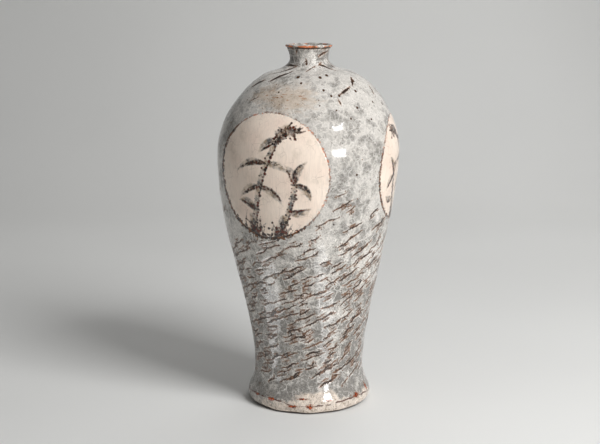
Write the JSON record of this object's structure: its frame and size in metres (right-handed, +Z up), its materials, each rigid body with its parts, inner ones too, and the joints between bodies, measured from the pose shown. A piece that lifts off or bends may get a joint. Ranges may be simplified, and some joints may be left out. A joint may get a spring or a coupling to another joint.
{
  "type": "pear-shaped vase",
  "caption": "Tall glazed stoneware vase with a small everted mouth, broad round shoulder, narrow waist and spreading foot, with round pale inlays on the shoulder.",
  "frame": {"origin": "centre of the foot ring's standing face, on the vase's axis", "axes": "+Z up along the axis of the vase, -Y towards the front as pictured, +X to the right"},
  "size_m": [0.1602, 0.16, 0.319],
  "materials": {
    "grey_glaze": "glossy pale grey crackle glaze over stoneware, with rust-brown marks and dark specks",
    "foot_glaze": "glossy glaze that pools cream over the foot, with orange flashes along its edge and a bare standing face",
    "white_slip": "warm white clay under clear glaze, with brown painted sprigs and a thin brown outline"
  },
  "bodies": {
    "root": {"foot_ring": "foot_glaze", "belly_section": "grey_glaze", "shoulder_section": "grey_glaze", "neck_collar": "grey_glaze", "roundel_inlay_1": "white_slip", "roundel_inlay_2": "white_slip", "roundel_inlay_3": "white_slip"}
  },
  "joints": []
}
